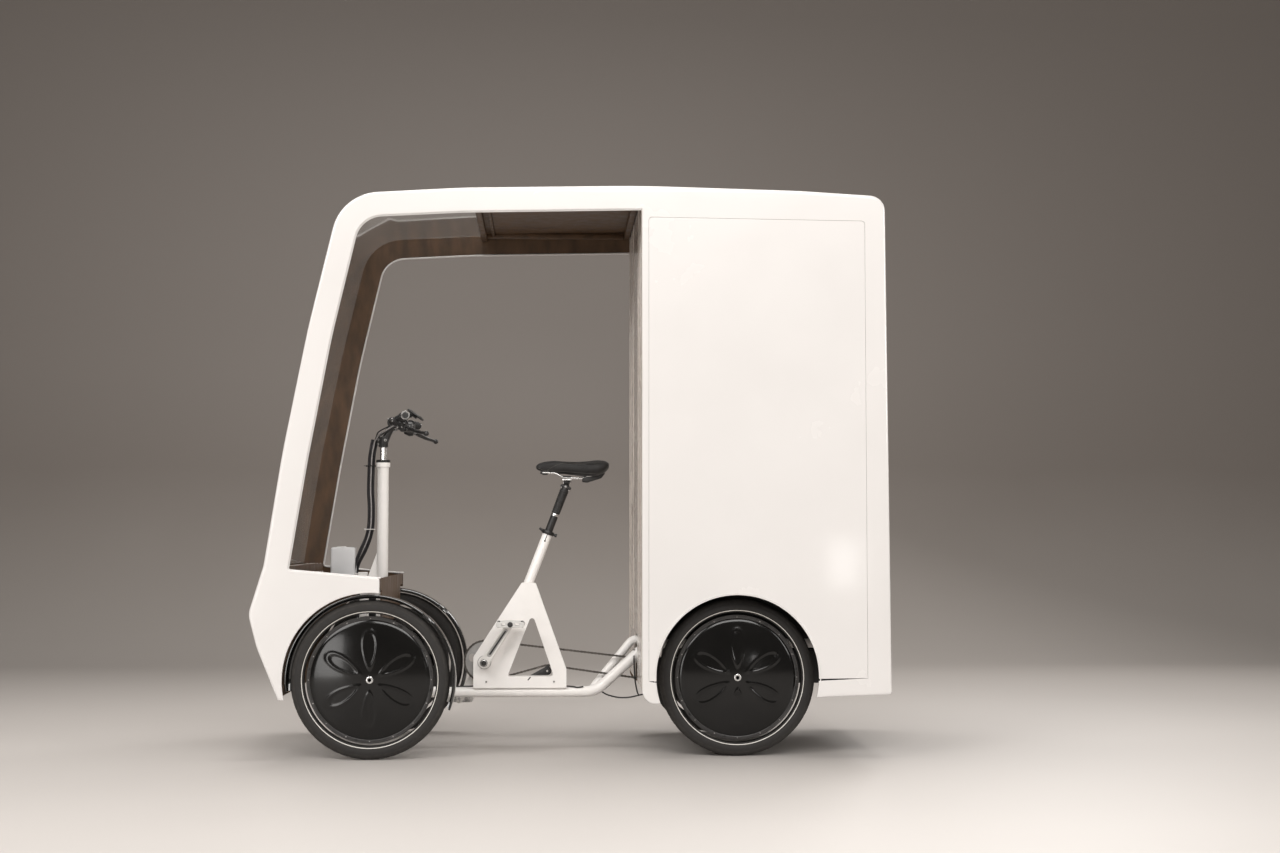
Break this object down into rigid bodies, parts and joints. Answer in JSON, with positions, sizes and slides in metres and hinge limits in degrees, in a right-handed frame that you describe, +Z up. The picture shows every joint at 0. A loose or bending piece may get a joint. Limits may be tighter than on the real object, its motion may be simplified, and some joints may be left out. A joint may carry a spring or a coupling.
{
  "type": "roofed cargo cycle",
  "caption": "Roofed electric-assist cargo cycle with a rider's cab, steered front wheels, pedal drive, A-frame saddle and a rear cargo box with a hinged door.",
  "frame": {"origin": "on the ground, under the middle of the vehicle's overall length and width", "axes": "+X rearward along the vehicle, +Y to the rider's right, +Z up"},
  "size_m": [2.1275, 1, 1.9128],
  "materials": {
    "body_white": "gloss gel coat, moulded composite",
    "frame_white": "satin white powder coat",
    "screen_clear": "clear polycarbonate, polished",
    "fibre_brown": "bare natural-fibre composite",
    "panel_grey": "glossy light grey laminate",
    "floor_grey": "textured non-slip floor",
    "liner_black": "textured black plastic",
    "black_metal": "black powder coat",
    "guard_black": "glossy black moulding",
    "cover_black": "high gloss black dome",
    "rim_black": "satin black rim",
    "tyre": "ribbed tyre rubber",
    "silver": "polished aluminium",
    "steel": "plain steel",
    "chain_steel": "oiled dark steel",
    "pedal_grey": "light grey moulded plastic",
    "grip": "black rubber",
    "hose": "black braided sleeve",
    "saddle": "black synthetic leather",
    "reservoir": "milky translucent plastic",
    "lamp_clear": "clear lens over a bright reflector",
    "lamp_red": "red lens"
  },
  "bodies": {
    "root": {"main_frame": "frame_white", "seat_frame": "frame_white", "head_column": "frame_white", "front_axle": "black_metal", "rear_axle": "black_metal", "body_side_left": "body_white", "body_side_right": "body_white", "nose_fascia": "body_white", "windscreen": "screen_clear", "roof_panel": "body_white", "dash_tray": "fibre_brown", "reservoir": "reservoir", "cargo_panels": "body_white", "cargo_bulkhead": "panel_grey", "cargo_floor": "floor_grey", "wheel_liners": "liner_black", "headlights": "lamp_clear", "tail_lights": "lamp_red", "battery": "black_metal", "chain": "chain_steel", "hoses_lower": "hose", "seat_clamp": "black_metal", "tensioner_arm": "black_metal", "door_hinges": "steel"},
    "cargo_door": {"cargo_door": "body_white"},
    "door_handle": {"door_handle": "black_metal"},
    "handlebars": {"steerer": "silver", "stem": "black_metal", "handlebar": "black_metal", "grips": "grip", "display": "liner_black", "lever_brackets": "black_metal", "hoses_upper": "hose"},
    "brake_lever_left": {"brake_lever_left": "black_metal"},
    "brake_lever_right": {"brake_lever_right": "black_metal"},
    "knuckle_left": {"knuckle_left": "black_metal", "mudguard_left": "guard_black"},
    "knuckle_right": {"knuckle_right": "black_metal", "mudguard_right": "guard_black"},
    "tie_rod": {"tie_rod": "silver"},
    "seat": {"seatpost": "black_metal", "saddle": "saddle", "saddle_rails": "silver"},
    "crank": {"crankset": "silver"},
    "pedal_left": {"pedal_left": "pedal_grey"},
    "pedal_right": {"pedal_right": "pedal_grey"},
    "tensioner_wheel": {"tensioner_wheel": "liner_black"},
    "rear_sprocket": {"rear_sprocket": "steel"},
    "front_left_wheel": {"tyre_front_left": "tyre", "wheel_front_left": "rim_black", "cover_front_left": "cover_black"},
    "front_right_wheel": {"tyre_front_right": "tyre", "wheel_front_right": "rim_black", "cover_front_right": "cover_black"},
    "rear_left_wheel": {"tyre_rear_left": "tyre", "wheel_rear_left": "rim_black", "cover_rear_left": "cover_black"},
    "rear_right_wheel": {"tyre_rear_right": "tyre", "wheel_rear_right": "rim_black", "cover_rear_right": "cover_black"}
  },
  "joints": [
    {"name": "steer_left", "type": "hinge", "parent": "root", "child": "knuckle_left", "pos_m": [-0.668, -0.385, 0.263], "axis": [0, 0, 1], "range_deg": [-30, 30]},
    {"name": "steer_right", "type": "hinge", "parent": "root", "child": "knuckle_right", "pos_m": [-0.668, 0.385, 0.263], "axis": [0, 0, 1], "range_deg": [-30, 30]},
    {"name": "steer_handlebar", "type": "hinge", "parent": "root", "child": "handlebars", "pos_m": [-0.672, 0, 0.7], "axis": [0, 0, 1], "range_deg": [-30, 30]},
    {"name": "tie_rod_turn", "type": "hinge", "parent": "knuckle_left", "child": "tie_rod", "pos_m": [-0.593, -0.385, 0.322], "axis": [0, 0, 1], "range_deg": [-30, 30]},
    {"name": "front_left_spin", "type": "hinge", "parent": "knuckle_left", "child": "front_left_wheel", "pos_m": [-0.668, -0.455, 0.263], "axis": [0, 1, 0], "continuous": true},
    {"name": "front_right_spin", "type": "hinge", "parent": "knuckle_right", "child": "front_right_wheel", "pos_m": [-0.668, 0.455, 0.263], "axis": [0, 1, 0], "continuous": true},
    {"name": "rear_left_spin", "type": "hinge", "parent": "root", "child": "rear_left_wheel", "pos_m": [0.555, -0.395, 0.263], "axis": [0, 1, 0], "continuous": true},
    {"name": "rear_right_spin", "type": "hinge", "parent": "root", "child": "rear_right_wheel", "pos_m": [0.555, 0.395, 0.263], "axis": [0, 1, 0], "continuous": true},
    {"name": "crank_turn", "type": "hinge", "parent": "root", "child": "crank", "pos_m": [-0.307, 0, 0.291], "axis": [0, 1, 0], "continuous": true},
    {"name": "rear_sprocket_turn", "type": "hinge", "parent": "root", "child": "rear_sprocket", "pos_m": [0.35, 0.04, 0.25], "axis": [0, 1, 0], "continuous": true},
    {"name": "tensioner_turn", "type": "hinge", "parent": "root", "child": "tensioner_wheel", "pos_m": [-0.084, 0.04, 0.256], "axis": [0, 1, 0], "continuous": true},
    {"name": "pedal_left_turn", "type": "hinge", "parent": "crank", "child": "pedal_left", "pos_m": [-0.21306, -0.13, 0.43028], "axis": [0, 1, 0], "continuous": true},
    {"name": "pedal_right_turn", "type": "hinge", "parent": "crank", "child": "pedal_right", "pos_m": [-0.40094, 0.13, 0.15172], "axis": [0, 1, 0], "continuous": true},
    {"name": "seat_height", "type": "slide", "parent": "root", "child": "seat", "axis": [0.3584, 0, 0.9336], "range_m": [-0.055, 0.09]},
    {"name": "brake_left_pull", "type": "hinge", "parent": "handlebars", "child": "brake_lever_left", "pos_m": [-0.572, -0.156, 1.116], "axis": [-0.63, -0.2209, -0.7445], "range_deg": [0, 18], "stiffness_Nm_per_rad": 1, "springref_deg": -17.19},
    {"name": "brake_right_pull", "type": "hinge", "parent": "handlebars", "child": "brake_lever_right", "pos_m": [-0.572, 0.156, 1.116], "axis": [0.63, -0.2209, 0.7445], "range_deg": [0, 18], "stiffness_Nm_per_rad": 1, "springref_deg": -17.19},
    {"name": "cargo_door_swing", "type": "hinge", "parent": "root", "child": "cargo_door", "pos_m": [1.047, 0.48, 1.06], "axis": [0, 0, 1], "range_deg": [0, 110]},
    {"name": "door_handle_turn", "type": "hinge", "parent": "cargo_door", "child": "door_handle", "pos_m": [1.044, -0.43, 1.052], "axis": [1, 0, 0], "range_deg": [0, 90]}
  ],
  "couplings": [
    {"joint": "steer_right", "follows": "steer_left", "ratio": 1},
    {"joint": "steer_handlebar", "follows": "steer_left", "ratio": 1},
    {"joint": "tie_rod_turn", "follows": "steer_left", "ratio": -1},
    {"joint": "rear_sprocket_turn", "follows": "crank_turn", "ratio": 2},
    {"joint": "tensioner_turn", "follows": "crank_turn", "ratio": -3.6429}
  ]
}
